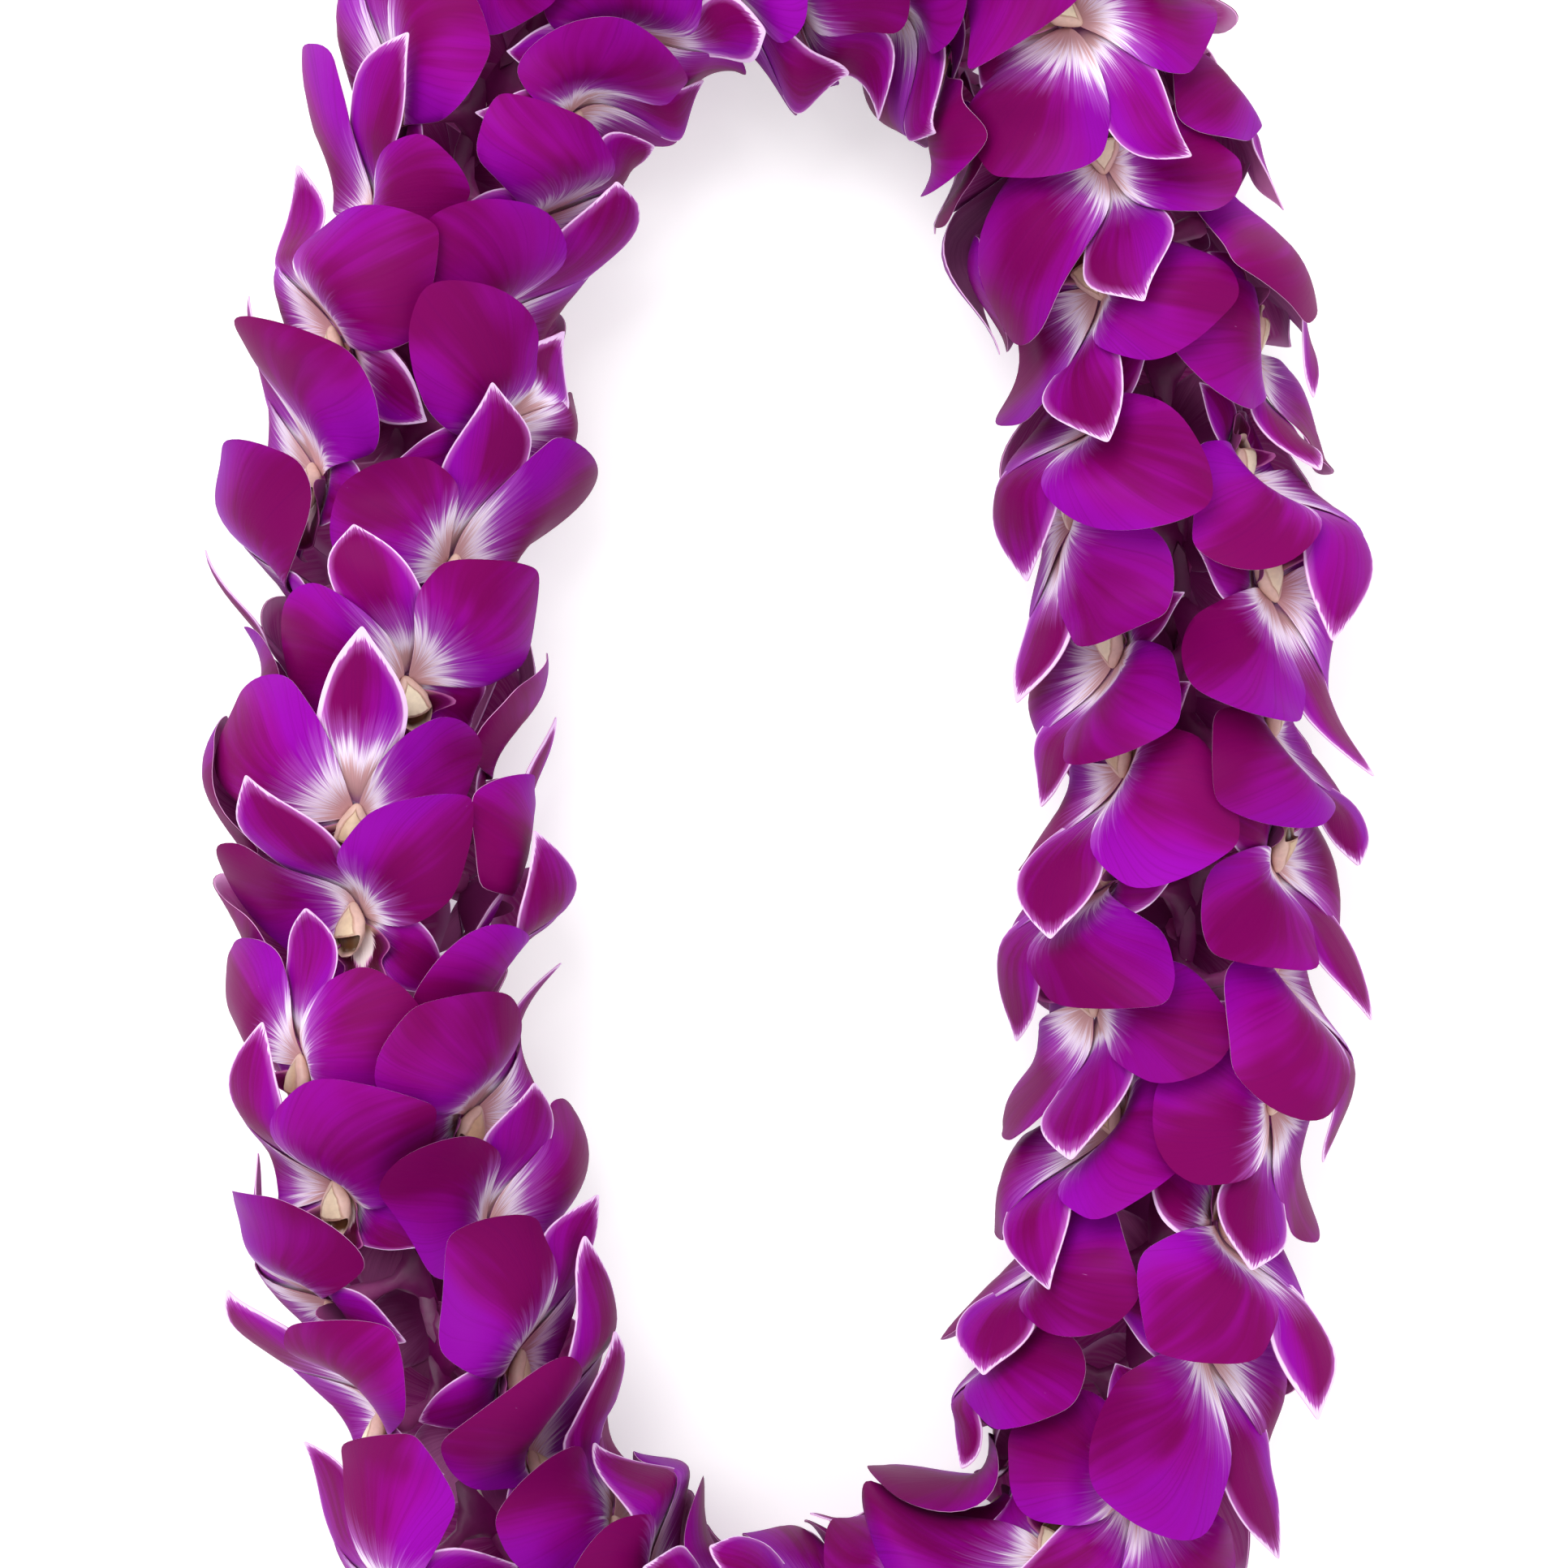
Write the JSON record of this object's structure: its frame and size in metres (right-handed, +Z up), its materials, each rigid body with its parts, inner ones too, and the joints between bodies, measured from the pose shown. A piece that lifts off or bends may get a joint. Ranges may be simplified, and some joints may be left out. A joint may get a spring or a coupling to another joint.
{
  "type": "fresh flower lei",
  "caption": "Laid-out loop of fresh purple orchid blooms, threaded side by side round a tied string and worn round the neck.",
  "frame": {"origin": "on the table, under the middle of the lei's box", "axes": "+Y along the length of the loop, +X across it, +Z up from the table; seen from above every bloom's back sepal points clockwise round the loop"},
  "size_m": [0.2552, 0.4674, 0.0811],
  "materials": {
    "petal": "soft satin, veined, with a pale edge",
    "lip": "velvety",
    "column": "waxy",
    "stalk": "soft satin",
    "thread": "twisted cotton"
  },
  "bodies": {
    "root": {"blooms_01": "petal", "blooms_02": "petal", "blooms_03": "petal", "blooms_04": "petal", "blooms_05": "petal", "blooms_06": "petal", "blooms_07": "petal", "blooms_08": "petal", "blooms_09": "petal", "blooms_10": "petal", "blooms_11": "petal", "blooms_12": "petal", "blooms_13": "petal", "blooms_14": "petal", "blooms_15": "petal", "blooms_16": "petal", "blooms_17": "petal", "blooms_18": "petal", "blooms_19": "petal", "blooms_20": "petal", "blooms_21": "petal", "blooms_22": "petal", "blooms_23": "petal", "blooms_24": "petal", "blooms_25": "petal", "blooms_26": "petal", "blooms_27": "petal", "blooms_28": "petal", "blooms_29": "petal", "blooms_30": "petal", "blooms_31": "petal", "blooms_32": "petal", "blooms_33": "petal", "blooms_34": "petal", "blooms_35": "petal", "blooms_36": "petal", "thread": "thread"}
  },
  "joints": []
}
